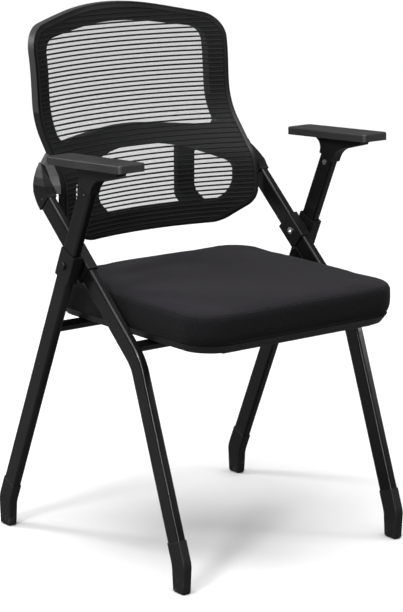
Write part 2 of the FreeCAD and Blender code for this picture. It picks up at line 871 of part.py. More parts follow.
# Where the post enters its socket, and the tube's end inside it.
ear_inner = half_width - size("ear_root")
ear_step = ear_inner + size("ear_web_reach")
ear_mouth = shift(pivot, up_post, size("ear_run"))
post_end = shift(pivot, up_post, size("post_end_run"))


def column(body, name, sections):
    # A ruled loft through level four-sided sections, each a height and its corners.
    sketches = []
    for index, (height, corners) in enumerate(sections):
        sketch = new_sketch(body, "%s_%d" % (name, index), "XY_Plane", height)
        draw_loop(sketch, corners)
        sketches.append(sketch)
    feature = loft(body, name, sketches)
    feature.Ruled = True
    return feature


def ear_socket():
    # The moulded housing over the end of a post. It leans in as it rises to the frame.
    body = new_body("ear_socket_left")
    inner = front_x - half_tube - size("ear_wall")
    outer = front_x + half_tube + size("ear_wall")
    rows = [
        (-26.0, 0.0, -55.2, -2.5), (-12.0, 0.0, -39.5, 9.0), (2.0, 0.0, -23.0, 16.5),
        (14.0, 1.0, -15.5, 18.5), (26.0, 5.5, -5.0, 21.5), (38.0, 11.4, 7.5, 23.5),
        (48.0, 17.0, 19.0, 23.5),
    ]
    sections = []
    for rise, lean, front, rear in rows:
        near, far = post_end[0] + front, post_end[0] + rear
        sections.append((post_end[1] + rise, [
            (inner, near), (outer - lean, near), (outer - lean, far), (inner, far),
        ]))
    column(body, "socket", sections)
    mouth = new_sketch(body, "mouth_outline", "YZ_Plane", front_x)
    below = shift(ear_mouth, up_post, -size("tube_depth") * 2)
    draw_loop(mouth, bar(below, ear_mouth, up_post, size("tube_depth") * 2, size("tube_depth") * 2))
    pocket(body, mouth, size("tube_depth") * 2, "mouth")
    return body


def ear_web():
    # The web that ties the housing to the edge of the frame.
    body = new_body("ear_web_left")
    rows = [
        (0.2, 1.0, -14.0, -26.0, 15.0), (14.0, 1.0, -11.0, -25.0, 18.0), (29.0, 1.0, -6.0, -18.0, 20.5),
        (46.0, 0.5, 7.0, -4.0, 22.0), (62.0, -10.0, 17.0, 11.0, 22.0),
    ]
    sections = []
    for rise, spread, front, inner_front, rear in rows:
        outer = ear_step + spread
        sections.append((post_end[1] + rise, [
            (ear_inner, post_end[0] + inner_front), (outer, post_end[0] + front),
            (outer, post_end[0] + rear), (ear_inner, post_end[0] + rear),
        ]))
    column(body, "web", sections)
    return body


def ear_hollow():
    # The space that the end of the post fills in its housing.
    body = new_body("ear_hollow_left")
    play = size("socket_play")
    below = shift(ear_mouth, up_post, -size("tube_depth"))
    end = shift(post_end, up_post, play)
    outline = new_sketch(body, "hollow_outline", "YZ_Plane", front_x)
    draw_loop(outline, bar(below, end, up_post, half_depth + play, half_depth + play))
    pad(body, outline, size("tube_width") + 2 * play, "hollow_solid")
    spot = shift(pivot, up_post, size("ear_screw_run"))
    drill = new_sketch(body, "drill_outline", "YZ_Plane", front_x)
    draw_circle(drill, spot, size("screw_radius") + size("screw_play"))
    pad(body, drill, (front_x - ear_inner) * 2, "drill")
    counter = new_sketch(body, "counter_outline", "YZ_Plane", ear_inner - size("back_rim"))
    draw_circle(counter, spot, size("screw_head_radius") + size("screw_play"))
    depth = ear_step - ear_inner + size("back_rim") - size("screw_head_height")
    pad(body, counter, depth, "counter", symmetric=False)
    return body


def back_frame():
    panel = back_sweep("back_panel", size("back_bow"), size("back_bow") + size("back_rim"))
    shape = prism("back_cutter", [back_outline(as_size(0.0)), upper_window(), lower_window()])
    face = combine("Common", "back_face", panel, shape)
    left = [strut(), ear_socket(), ear_web()]
    right = [mirrored(body, body.Label.replace("_left", "_right")) for body in left]
    whole = combine("MultiFuse", "back_whole", face, left + right)
    hollow = ear_hollow()
    other = mirrored(hollow, "ear_hollow_right")
    once = combine("Cut", "back_once", whole, hollow)
    keep(combine("Cut", "back_frame", once, other))


def back_mesh():
    # The stretched mesh: ribs run across it, and light shows between them in the openings.
    front = size("back_bow") - size("mesh_thickness")
    sheet_body = back_sweep("mesh_panel", front, size("back_bow"))
    edge = prism("mesh_cutter", [back_outline(size("mesh_inset"))])
    cloth = combine("Common", "mesh_cloth", sheet_body, edge)
    comb = new_body("mesh_comb")
    reach = (half_width - size("window_side_rim")) + size("mesh_inset")
    low = size("low_window_base") - size("mesh_gap") / 2
    count = int((size("window_top").value - low.value) / size("mesh_pitch").value) + 1
    teeth = new_sketch(comb, "tooth_sketch", "XZ_Plane")
    draw_loop(teeth, [
        (-reach, low), (reach, low), (reach, low + size("mesh_gap")), (-reach, low + size("mesh_gap")),
    ])
    tooth = pad(comb, teeth, prism_depth, "tooth")
    doc.recompute()
    rows = comb.newObject("PartDesign::LinearPattern", "rows")
    rows.Originals = [tooth]
    rows.Direction = (plane(comb, "Z_Axis"), [""])
    rows.Length = ((count - 1) * size("mesh_pitch")).value
    rows.setExpression("Length", ((count - 1) * size("mesh_pitch")).text)
    rows.Occurrences = count
    comb.Tip = rows
    holes = prism("mesh_windows", [upper_window(), lower_window()])
    gaps = combine("Common", "mesh_gaps", comb, holes)
    keep(combine("Cut", "back_mesh", cloth, gaps))


def edge_strip():
    front = size("back_bow") - size("strip_thickness")
    band = back_sweep("strip_panel", front, size("back_bow"))
    ring = prism("strip_cutter", [back_outline(size("strip_inset")), back_outline(size("mesh_inset"))])
    keep(combine("Common", "mesh_edge_strip", band, ring))


def ear_screw():
    body = new_body("back_screw_left")
    spot = shift(pivot, up_post, size("ear_screw_run"))
    face = ear_step - size("screw_head_height")
    disc(body, spot, size("screw_head_radius"), face - size("screw_head_height"), face, "head")
    disc(body, spot, size("screw_radius"), face, front_x + half_tube, "shank")
    keep_pair(body)


# The seat, from the pan up: pan, board and cushion, on two hinges and two rests.
bolt_head_face = front_x - half_tube - size("sleeve_wall") - size("bolt_head_height")
seat_half_width = bolt_head_face - size("seat_side_gap")
seat_back = size("seat_rear")
seat_front = -size("seat_front")
board_bottom = size("pan_bottom") + size("pan_floor")
board_top = board_bottom + size("board_thickness")


def seat_loop(inset, corner):
    side = seat_half_width - inset
    return [
        (side, seat_front + inset, corner),
        (side, seat_back - inset, corner),
        (-side, seat_back - inset, corner),
        (-side, seat_front + inset, corner),
    ]


def seat_section(body, name, height, inset):
    sketch = new_sketch(body, name, "XY_Plane", height)
    draw_loop(sketch, seat_loop(inset, size("seat_corner") - inset / 2))
    return sketch


def loft(body, name, sections):
    feature = body.newObject("PartDesign::AdditiveLoft", name)
    feature.Profile = sections[0]
    feature.Sections = sections[1:]
    feature.Ruled = False
    return feature


def seat_holes(body, height, depth, radius):
    # Clearance holes for the screws of the hinges and rests.
    sketch = new_sketch(body, "screw_holes_sketch", "XY_Plane", height)
    for side in (1, -1):
        for middle in (rear_bar[0], front_bar[0]):
            for step in (1, -1):
                spot = middle + step * screw_reach()
                draw_circle(sketch, (side * size("hinge_place"), spot), radius)
    pocket(body, sketch, depth, "screw_holes")


def screw_reach():
    return size("flange_reach") - size("screw_head_radius") * 1.5


def seat_pan():
    body = new_body("seat_pan")
    low = seat_section(body, "pan_low", size("pan_bottom"), size("pan_inset"))
    high = seat_section(body, "pan_high", board_top, size("pan_inset") - size("pan_flare"))
    loft(body, "pan_solid", [low, high])
    tray = new_sketch(body, "tray", "XY_Plane", board_top)
    inset = size("pan_inset") + size("pan_wall")
    draw_loop(tray, seat_loop(inset, size("seat_corner") - inset / 2))
    pocket(body, tray, size("board_thickness"), "tray_pocket", symmetric=False)
    lip = new_sketch(body, "lip_outline", "YZ_Plane")
    edge = seat_front + size("pan_inset")
    low = size("pan_bottom") - size("pan_lip")
    reach = size("pan_lip_reach")
    draw_loop(lip, [
        (edge + size("pan_wall"), size("pan_bottom") + size("pan_floor") / 2),
        (edge + size("pan_wall") * 3, low), (edge + reach, low),
        (edge + reach + size("pan_wall") * 3, size("pan_bottom") + size("pan_floor") / 2),
    ])
    pad(body, lip, (seat_half_width - size("seat_corner")) * 2, "lip")
    clear = size("screw_radius") + size("screw_play")
    seat_holes(body, size("pan_bottom"), size("pan_floor") * 4, clear)
    keep(body)


def seat_board():
    body = new_body("seat_board")
    outline = new_sketch(body, "board_outline", "XY_Plane", board_bottom)
    inset = size("pan_inset") + size("pan_wall") + size("board_play")
    draw_loop(outline, seat_loop(inset, size("seat_corner") - inset / 2))
    pad(body, outline, size("board_thickness"), "board_solid", symmetric=False)
    clear = size("screw_radius") + size("screw_play")
    seat_holes(body, board_bottom, size("board_thickness") * 2.4, clear)
    keep(body)


def seat_cushion():
    # The cushion tucks in at its foot, swells at mid height and rises to a low crown.
    body = new_body("seat_cushion")
    height = size("cushion_height") - size("crown_rise")
    tuck = size("cushion_tuck")
    levels = [
        (0.0, tuck), (0.14, tuck * 0.35), (0.35, tuck * 0.06), (0.65, tuck * 0.04),
        (0.86, tuck * 0.15), (0.95, tuck * 0.5), (1.0, tuck * 1.1),
    ]
    sections = []
    for index, (share, inset) in enumerate(levels):
        sections.append(seat_section(body, "level_%d" % index, board_top + height * share, inset))
    rim = levels[-1][1]
    for index, (share, drawn) in enumerate(((0.35, 22.0), (0.7, 65.0), (0.92, 115.0), (1.0, 160.0))):
        place = board_top + height + size("crown_rise") * share
        sketch = new_sketch(body, "crown_%d" % index, "XY_Plane", place)
        draw_loop(sketch, seat_loop(rim + drawn, size("seat_corner") * (1 - drawn / 260)))
        sections.append(sketch)
    solid = loft(body, "cushion_solid", sections)
    solid.Ruled = True
    keep(body)


def seat_bracket(name, centre, half, bottom, bore):
    # A block under the pan at a cross bar, with a flange that is screwed to the pan.
    # A hinge has a bore for its bar, and a rest stands flat on its bar.
    body = new_body(name)
    middle = size("hinge_place")
    top = size("pan_bottom")
    thick = size("flange_thickness")
    reach = size("flange_reach")
    outline = new_sketch(body, "block_outline", "YZ_Plane", middle)
    draw_loop(outline, [
        (centre[0] - reach, top), (centre[0] - reach, top - thick),
        (centre[0] - half, top - thick), (centre[0] - half, bottom),
        (centre[0] + half, bottom), (centre[0] + half, top - thick),
        (centre[0] + reach, top - thick), (centre[0] + reach, top),
    ])
    pad(body, outline, size("hinge_width"), "block_solid")
    if bore is not None:
        hole = new_sketch(body, "bar_bore_outline", "YZ_Plane", middle)
        draw_circle(hole, centre, bore)
        pocket(body, hole, size("hinge_width") * 2, "bar_bore")
    clear = size("screw_radius") + size("screw_play")
    sketch = new_sketch(body, "flange_holes_sketch", "XY_Plane", top)
    for step in (1, -1):
        draw_circle(sketch, (middle, centre[0] + step * screw_reach()), clear)
    pocket(body, sketch, thick * 3, "flange_holes")
    keep_pair(body)


def seat_screws():
    # Eight screws that hold the hinges and rests to the pan and board.
    body = new_body("seat_screws")
    start = size("pan_bottom") - size("flange_thickness")
    head = new_sketch(body, "head_sketch", "XY_Plane", start - size("screw_head_height"))
    shank = new_sketch(body, "shank_sketch", "XY_Plane", start)
    for side in (1, -1):
        for middle in (rear_bar[0], front_bar[0]):
            for step in (1, -1):
                spot = (side * size("hinge_place"), middle + step * screw_reach())
                draw_circle(head, spot, size("screw_head_radius"))
                draw_circle(shank, spot, size("screw_radius"))
    pad(body, head, size("screw_head_height"), "heads", symmetric=False)
    pad(body, shank, size("screw_length"), "shanks", symmetric=False)
    keep(body)


front_leg()
rear_leg()
foot("front_foot_left", knee, up_front, front_x)
foot("rear_foot_left", pivot, up_rear, rear_x)
cross_bar("front_cross_bar", front_bar, size("front_track"))
cross_bar("rear_cross_bar", rear_bar, rear_x * 2)
sleeve("front_sleeve_left", up_post, front_x, size("sleeve_lug"), size("sleeve_wall"))
sleeve("rear_sleeve_left", up_rear, rear_x, size("sleeve_wall"), size("sleeve_lug"))
pivot_parts()
arm_bracket()
arm_pad()
arm_screws()
back_frame()
back_mesh()
edge_strip()
ear_screw()
seat_pan()
seat_board()
seat_cushion()
hinge_bore = size("bar_radius") + size("hinge_play")
hinge_half = hinge_bore + size("hinge_wall")
seat_bracket("seat_hinge_left", rear_bar, hinge_half, rear_bar[1] - hinge_half, hinge_bore)
rest_bottom = front_bar[1] + size("bar_radius") + size("rest_play")
seat_bracket("seat_rest_left", front_bar, size("rest_half"), rest_bottom, None)
seat_screws()
doc.recompute()

# Nothing is written unless every object of the document is sound.
for item in doc.Objects:
    if "Invalid" in item.State or "Error" in item.State:
        raise RuntimeError("%s is not sound: %s" % (item.Label, item.State))
for piece in pieces:
    if piece.Shape.isNull() or not piece.Shape.isValid():
        raise RuntimeError(piece.Label + " has no valid shape")

os.makedirs("parts", exist_ok=True)
for piece in pieces:
    piece.Shape.exportStep("parts/%s.step" % piece.Label)
    print("%s: %d solids, %.0f mm3" % (piece.Label, len(piece.Shape.Solids), piece.Shape.Volume))
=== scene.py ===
import bpy
import bmesh
import json
import math
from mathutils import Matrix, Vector
from mathutils.bvhtree import BVHTree


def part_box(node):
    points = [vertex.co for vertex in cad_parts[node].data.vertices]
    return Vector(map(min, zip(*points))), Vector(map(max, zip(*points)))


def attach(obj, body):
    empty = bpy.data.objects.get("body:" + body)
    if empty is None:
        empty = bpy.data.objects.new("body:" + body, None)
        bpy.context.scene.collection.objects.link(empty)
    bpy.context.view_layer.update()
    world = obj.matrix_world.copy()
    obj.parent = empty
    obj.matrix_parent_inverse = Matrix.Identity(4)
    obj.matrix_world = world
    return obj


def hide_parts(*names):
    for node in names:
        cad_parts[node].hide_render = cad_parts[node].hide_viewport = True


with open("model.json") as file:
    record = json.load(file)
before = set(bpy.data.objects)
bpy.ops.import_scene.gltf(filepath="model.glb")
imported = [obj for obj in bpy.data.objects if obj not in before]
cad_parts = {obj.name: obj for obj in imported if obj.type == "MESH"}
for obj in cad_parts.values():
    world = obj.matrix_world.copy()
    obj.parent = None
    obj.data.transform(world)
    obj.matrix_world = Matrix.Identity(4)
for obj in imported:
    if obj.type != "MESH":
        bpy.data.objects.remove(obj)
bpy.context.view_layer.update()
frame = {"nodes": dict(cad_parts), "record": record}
scene = bpy.context.scene
print("frame loaded:", len(frame["nodes"]), "nodes")


# ---- shader wiring: a socket that can be used in sums ----
class Wire:
    def __init__(self, finish, socket):
        self.finish = finish
        self.socket = socket

    def mathWith(self, operation, first, second):
        return self.finish.add("ShaderNodeMath", {"operation": operation}, {0: first, 1: second})

    def __add__(self, other):
        return self.mathWith("ADD", self, other)

    def __radd__(self, other):
        return self.mathWith("ADD", other, self)

    def __sub__(self, other):
        return self.mathWith("SUBTRACT", self, other)

    def __rsub__(self, other):
        return self.mathWith("SUBTRACT", other, self)

    def __mul__(self, other):
        return self.mathWith("MULTIPLY", self, other)

    def __rmul__(self, other):
        return self.mathWith("MULTIPLY", other, self)

    def __truediv__(self, other):
        return self.mathWith("DIVIDE", self, other)

    def __rtruediv__(self, other):
        return self.mathWith("DIVIDE", other, self)

    def __gt__(self, other):
        return self.mathWith("GREATER_THAN", self, other)

    def __lt__(self, other):
        return self.mathWith("LESS_THAN", self, other)


class Finish:
    def __init__(self, name, tree=None):
        self.material = None
        if tree is None:
            self.material = bpy.data.materials.new(name)
            self.material.use_nodes = True
            tree = self.material.node_tree
        tree.nodes.clear()
        self.tree = tree

    def add(self, kind, settings=None, values=None, output=0):
        node = self.tree.nodes.new(kind)
        for key, value in (settings or {}).items():
            if key == "stops":
                ramp = node.color_ramp
                while len(ramp.elements) < len(value):
                    ramp.elements.new(0.5)
                for element, (place, colour) in zip(ramp.elements, value):
                    element.position = place
                    element.color = colour
            else:
                setattr(node, key, value)
        for key, value in (values or {}).items():
            if isinstance(value, Wire):
                self.tree.links.new(value.socket, node.inputs[key])
            elif value is not None:
                node.inputs[key].default_value = value
        return Wire(self, node.outputs[output]) if len(node.outputs) else None

    def place(self):
        return self.add("ShaderNodeTexCoord", output="Object")

    def axis(self, name):
        return self.add("ShaderNodeSeparateXYZ", values={0: self.place()}, output=name)

    def noise(self, scale, detail=3.0, roughness=0.5, vector=None):
        return self.add("ShaderNodeTexNoise", {}, {"Vector": vector or self.place(), "Scale": scale,
                        "Detail": detail, "Roughness": roughness}, "Fac")

    def spread(self, value, low, high, start=0.0, end=1.0):
        return self.add("ShaderNodeMapRange", {"clamp": True}, {"Value": value, "From Min": start, "From Max": end,
                        "To Min": low, "To Max": high})

    def blend(self, share, first, second):
        return self.add("ShaderNodeMix", {"data_type": "RGBA"}, {0: share, 6: first, 7: second}, 2)

    def bump(self, height, distance, strength=1.0, under=None):
        return self.add("ShaderNodeBump", {}, {"Height": height, "Distance": distance, "Strength": strength,
                        "Normal": under})

    def surface(self, **values):
        named = {key.replace("_", " "): value for key, value in values.items()}
        shader = self.add("ShaderNodeBsdfPrincipled", {}, named)
        self.add("ShaderNodeOutputMaterial", {}, {"Surface": shader})
        return self.material


def grey(level, warmth=0.0):
    return (level * (1 + warmth), level, level * (1 - warmth), 1.0)


# ---- finishes ----
def powderCoat():
    look = {"dark": 0.0050, "light": 0.0085, "peel": 900.0, "peelDepth": 0.00005, "gloss": 0.18}
    finish = Finish("powderCoat")
    patch = finish.noise(9.0, 4.0)
    peel = finish.noise(look["peel"], 2.0)
    colour = finish.blend(finish.spread(patch, 0, 1, 0.35, 0.65), grey(look["dark"]), grey(look["light"]))
    rough = finish.spread(patch, look["gloss"], look["gloss"] + 0.1, 0.3, 0.7)
    return finish.surface(Base_Color=colour, Roughness=rough, Specular_IOR_Level=0.3,
                          Normal=finish.bump(peel, look["peelDepth"], 0.6))


def mouldedPlastic(name, look):
    finish = Finish(name)
    grain = finish.add("ShaderNodeTexVoronoi", {"feature": "F1"}, {"Vector": finish.place(), "Scale": look["grain"],
                       "Randomness": 1.0}, "Distance")
    cloud = finish.noise(14.0, 4.0)
    colour = finish.blend(finish.spread(cloud, 0, 1, 0.35, 0.65), grey(look["dark"]), grey(look["light"]))
    if "rim" in look:
        # the outer edge of the back is painted a little paler than its face: a painted highlight on its
        # sideways-facing faces, above a given height
        normal = finish.add("ShaderNodeTexCoord", output="Normal")
        facing = finish.add("ShaderNodeSeparateXYZ", values={0: normal}, output="Y")
        level = finish.add("ShaderNodeMath", {"operation": "ABSOLUTE"}, {0: facing})
        edge = finish.spread(level, 1, 0, 0.35, 0.75) * (finish.axis("Z") > look["rimLow"])
        colour = finish.blend(edge, colour, grey(look["rim"]))
    rough = finish.spread(cloud, look["rough"] - 0.05, look["rough"] + 0.06, 0.3, 0.7)
    return finish.surface(Base_Color=colour, Roughness=rough, Specular_IOR_Level=look["shine"],
                          Normal=finish.bump(grain, look["depth"], 0.5))


def footRubber():
    look = {"dark": 0.008, "worn": 0.05, "wornTop": 0.034}
    finish = Finish("footRubber")
    scuff = finish.noise(95.0, 5.0, 0.62)
    low = finish.spread(finish.axis("Z"), 1, 0, 0.004, look["wornTop"])
    wear = finish.spread(scuff, 0, 1, 0.52, 0.66) * low
    grain = finish.noise(1300.0, 2.0)
    return finish.surface(Base_Color=finish.blend(wear, grey(look["dark"]), grey(look["worn"])),
                          Roughness=finish.spread(wear, 0.5, 0.78), Specular_IOR_Level=0.3,
                          Normal=finish.bump(grain, 0.0001, 0.5))


def zincSteel():
    finish = Finish("zincSteel")
    brushed = finish.noise(420.0, 3.0)
    return finish.surface(Base_Color=finish.blend(finish.spread(brushed, 0, 1, 0.3, 0.7), grey(0.5), grey(0.72)),
                          Metallic=1.0, Roughness=finish.spread(brushed, 0.24, 0.4),
                          Normal=finish.bump(brushed, 0.00005, 0.4))


def plyBoard():
    finish = Finish("plyBoard")
    grain = finish.add("ShaderNodeTexWave", {"wave_type": "RINGS"}, {"Vector": finish.place(), "Scale": 9.0,
                       "Distortion": 5.0, "Detail": 3.0}, "Fac")
    return finish.surface(Base_Color=finish.blend(grain, (0.36, 0.23, 0.12, 1), (0.5, 0.36, 0.2, 1)), Roughness=0.7,
                          Normal=finish.bump(grain, 0.0002, 0.4))


def seatWeave():
    # a fine weave on top; the band round the side is plainer, and painted darker as shade for the sides, which get
    # less light than the top
    look = {"thread": 1150.0, "dark": 0.0075, "light": 0.0190, "side": 0.42, "seam": 0.4446, "seamHalf": 0.0017}
    finish = Finish("seatWeave")
    across, along, up = (finish.axis(name) for name in ("X", "Y", "Z"))
    ribX = finish.add("ShaderNodeMath", {"operation": "SINE"}, {0: (across + up * 0.5) * look["thread"] * 2})
    ribY = finish.add("ShaderNodeMath", {"operation": "SINE"}, {0: (along + up) * look["thread"] * 2})
    weave = ribX * ribY * 0.5 + 0.5
    nap = finish.noise(2600.0, 2.0)
    cloud = finish.noise(6.0, 3.0)
    fleck = finish.spread(finish.noise(430.0, 2.0), 0, 1, 0.35, 0.65)
    seam = finish.add("ShaderNodeMath", {"operation": "ABSOLUTE"}, {0: up - look["seam"]})
    groove = finish.spread(seam, 0, 1, 0.0, look["seamHalf"])
    # painted shade: the band below the seam is made darker than the top
    paintedSideShade = finish.spread(up, look["side"], 1.0, look["seam"] - 0.0004, look["seam"] + 0.0012)
    shade = finish.spread(cloud, 0.85, 1.1, 0.3, 0.7) * (weave * 0.8 + 0.35) * (fleck * 0.9 + 0.5)
    # the groove term also paints a dark line of shade along the seam's crease
    shade = shade * paintedSideShade * (groove * 0.8 + 0.2)
    tone = {"dark": (look["dark"] * 0.35, look["dark"] * 0.32, look["dark"] * 0.38, 1),
            "light": (look["light"], look["light"] * 0.88, look["light"] * 1.12, 1)}
    colour = finish.blend(finish.spread(shade, 0, 1, 0.1, 1.1), tone["dark"], tone["light"])
    soft = finish.bump(weave * 0.6 + nap * 0.4, 0.0005, 0.8)
    return finish.surface(Base_Color=colour, Roughness=finish.spread(nap, 0.82, 0.95), Specular_IOR_Level=0.12,
                          Sheen_Weight=0.05, Sheen_Roughness=0.4,
                          Normal=finish.bump(groove, 0.0010, 0.6, soft))


def netThread():
    finish = Finish("netThread")
    twist = finish.add("ShaderNodeTexWave", {"bands_direction": "DIAGONAL"},
                       {"Vector": finish.place(), "Scale": 420.0, "Distortion": 1.5}, "Fac")
    return finish.surface(Base_Color=finish.blend(twist, grey(0.006, -0.04), grey(0.017, -0.05)), Roughness=0.62,
                          Specular_IOR_Level=0.2, Normal=finish.bump(twist, 0.0002, 0.6))


def sewingThread():
    finish = Finish("sewingThread")
    twist = finish.add("ShaderNodeTexWave", {"bands_direction": "DIAGONAL"},
                       {"Vector": finish.place(), "Scale": 900.0}, "Fac")
    return finish.surface(Base_Color=finish.blend(twist, grey(0.03), grey(0.08)), Roughness=0.6,
                          Specular_IOR_Level=0.3, Normal=finish.bump(twist, 0.0001, 0.4))


def netSheer(look):
    # thin uprights and cross threads between the ribs; between the threads the cloth is mostly clear
    finish = Finish("netSheer")
    across, up = finish.axis("X"), finish.axis("Z")
    threadX = finish.add("ShaderNodeMath", {"operation": "PINGPONG"}, {0: across + 1.0, 1: look["thread"] / 2})
    threadZ = finish.add("ShaderNodeMath", {"operation": "PINGPONG"}, {0: up + 1.0, 1: look["thread"] / 2})
    cover = finish.spread(threadX, look["filled"], look["sheer"], look["yarn"] / 2, look["yarn"])
    cross = finish.spread(threadZ, look["filled"], look["sheer"], look["yarn"] / 2, look["yarn"])
    solid = finish.add("ShaderNodeMath", {"operation": "MAXIMUM"}, {0: cover, 1: cross})
    tint = finish.noise(700.0, 2.0)
    return finish.surface(Base_Color=finish.blend(tint, grey(0.006, -0.04), grey(0.018, -0.04)), Roughness=0.7,
                          Specular_IOR_Level=0.25, Alpha=solid, Normal=finish.bump(threadX, 0.0001, 0.4))


net = {"pitch": 0.0078, "firstRib": 0.5384, "ribHalf": 0.0015, "ribThick": 0.0005, "thread": 0.0017, "yarn": 0.00021,
       "sheer": 0.22, "filled": 0.78, "inset": 0.0062}
finishes = {
    "frame_steel": powderCoat(),
    "foot_plastic": footRubber(),
    # rim and rimLow give the back frame a painted highlight on its side faces, above that height
    "moulded_plastic": mouldedPlastic("mouldedBlack", {"dark": 0.0045, "light": 0.0075, "grain": 900.0,
                                      "depth": 0.00010, "rough": 0.42, "shine": 0.26, "rim": 0.040, "rimLow": 0.712}),
    "arm_plastic": mouldedPlastic("armGrain", {"dark": 0.0220, "light": 0.0290, "grain": 700.0,
                                  "depth": 0.00012, "rough": 0.5, "shine": 0.35}),
    "washer_plastic": mouldedPlastic("washerBlack", {"dark": 0.006, "light": 0.009, "grain": 900.0,
                                     "depth": 0.00005, "rough": 0.4, "shine": 0.35}),
    "screw_steel": zincSteel(),
    "mesh_fabric": netThread(),
    "strip_plastic": mouldedPlastic("stripBlack", {"dark": 0.004, "light": 0.007, "grain": 1100.0,
                                    "depth": 0.00005, "rough": 0.4, "shine": 0.4}),
    "pan_plastic": mouldedPlastic("panBlack", {"dark": 0.005, "light": 0.009, "grain": 800.0,
                                  "depth": 0.00012, "rough": 0.5, "shine": 0.32}),
    "board_wood": plyBoard(),
    "seat_fabric": seatWeave(),
    "hinge_plastic": mouldedPlastic("hingeBlack", {"dark": 0.006, "light": 0.010, "grain": 900.0,
                                    "depth": 0.00008, "rough": 0.45, "shine": 0.35}),
}
sheerFinish = netSheer(net)
seamThread = sewingThread()
for part in frame["record"]["subparts"]:
    node = frame["nodes"][part["node"]]
    node.data.materials.clear()
    node.data.materials.append(finishes[part["material_slot"]])
print("finishes made:", len(finishes) + 1)


# ---- shapes shared by the back's pieces ----
def roundPath(corners, closed, steps=10):
    # straight runs between corners, each corner (across, up) or (across, up, radius)
    points = []
    count = len(corners)
    for index, corner in enumerate(corners):
        here = Vector(corner[:2])
        if len(corner) < 3 or (not closed and index in (0, count - 1)):
            points.append(here)
            continue
        before = (Vector(corners[index - 1][:2]) - here).normalized()
        after = (Vector(corners[(index + 1) % count][:2]) - here).normalized()
        half = before.angle(after) / 2
        reach = corner[2] / math.tan(half)
        centre = here + (before + after).normalized() * (corner[2] / math.sin(half))
        start, end = here + before * reach - centre, here + after * reach - centre
        for step in range(steps + 1):
            points.append(centre + start.lerp(end, step / steps).normalized() * corner[2])
    return points


back = {"halfWidth": 0.205, "low": 0.4965, "high": 0.877, "bow": 0.480,
        "lumbar": [(0.106, 0.40), (0.106, 0.604, 0.06), (0.181, 0.696, 0.11), (0.188, 0.8, 0.3), (0.214, 0.892)]}
# the outline's corners on the +X side: how far in from the side, how high, and the radius that rounds them
rim = {"footIn": 0.064, "footRound": 0.070, "cheekUp": 0.036, "cheekRound": 0.034, "sideIn": 0.004, "sideShare": 0.65,
       "sideRound": 0.8, "shoulderIn": 0.0025, "shoulderDown": 0.0315, "shoulderRound": 0.045, "crestUp": 0.0105,
       "crestRound": 0.5, "steps": 14}
lumbarLine = roundPath(back["lumbar"], False, 16)


def lumbar(height):
    for first, second in zip(lumbarLine, lumbarLine[1:]):
        if first.y <= height <= second.y:
            return first.x + (second.x - first.x) * (height - first.y) / (second.y - first.y)
    return lumbarLine[-1].x


def backFace(across, height, proud=0.0):
    bowCentre = math.sqrt(back["bow"] ** 2 - back["halfWidth"] ** 2)
    return lumbar(height) + math.sqrt((back["bow"] - proud) ** 2 - across ** 2) - bowCentre


def backOutline(inset):
    side = back["halfWidth"] - inset
    low, high = back["low"] + inset, back["high"] - inset
    half = [
        (side - rim["footIn"], low, rim["footRound"] - inset),
        (side, low + rim["cheekUp"], rim["cheekRound"] - inset),
        (side - rim["sideIn"], low + (high - low) * rim["sideShare"], rim["sideRound"]),
        (side - rim["shoulderIn"], high - rim["shoulderDown"], rim["shoulderRound"] - inset),
    ]
    top = [(0.0, high + rim["crestUp"], rim["crestRound"])]
    mirrored = [(-point[0],) + tuple(point[1:]) for point in reversed(half)]
    return roundPath(half + top + mirrored, True, rim["steps"])


def halfWidthAt(outline, height):
    widest = 0.0
    for index, first in enumerate(outline):
        second = outline[(index + 1) % len(outline)]
        if (first.y - height) * (second.y - height) <= 0 and first.y != second.y:
            share = (height - first.y) / (second.y - first.y)
            widest = max(widest, abs(first.x + (second.x - first.x) * share))
    return widest


def newPiece(name, mesh, finish):
    piece = bpy.data.objects.new(name, mesh)
    scene.collection.objects.link(piece)
    if finish is not None:
        mesh.materials.clear()
        mesh.materials.append(finish)
    return piece


def baked(piece):
    # the piece with its modifiers worked into a plain mesh
    bpy.context.view_layer.update()
    graph = bpy.context.evaluated_depsgraph_get()
    mesh = bpy.data.meshes.new_from_object(piece.evaluated_get(graph), depsgraph=graph)
    piece.modifiers.clear()
    piece.data = mesh
    return piece


def smooth(mesh):
    mesh.polygons.foreach_set("use_smooth", [True] * len(mesh.polygons))


def grown(piece, name, tree, sizes):
    # the piece with the tree run on it at these sizes, as a smooth mesh
    modifier = piece.modifiers.new(name, "NODES")
    modifier.node_group = tree
    for item in tree.interface.items_tree:
        if item.in_out == "INPUT" and item.name in sizes:
            modifier[item.identifier] = sizes[item.name]
    baked(piece)
    smooth(piece.data)
    return piece


def shapeTree(name, sizes):
    # a geometry tree that takes a shape and these sizes; gives its wiring, the shape's wire and each size's wire
    tree = bpy.data.node_groups.new(name, "GeometryNodeTree")
    face = tree.interface
    face.new_socket("Geometry", in_out="INPUT", socket_type="NodeSocketGeometry")
    for size in sizes:
        face.new_socket(size, in_out="INPUT", socket_type="NodeSocketFloat")
    face.new_socket("Geometry", in_out="OUTPUT", socket_type="NodeSocketGeometry")
    wires = Finish(name, tree)
    source = tree.nodes.new("NodeGroupInput")
    return wires, Wire(wires, source.outputs[0]), {size: Wire(wires, source.outputs[size]) for size in sizes}


def finished(wires, shape, material):
    # the end of a tree: the shape as real mesh, in its material
    whole = wires.add("GeometryNodeRealizeInstances", {}, {"Geometry": shape})
    painted = wires.add("GeometryNodeSetMaterial", {}, {"Geometry": whole, "Material": material})
    target = wires.tree.nodes.new("NodeGroupOutput")
    wires.tree.links.new(painted.socket, target.inputs[0])
    return wires.tree


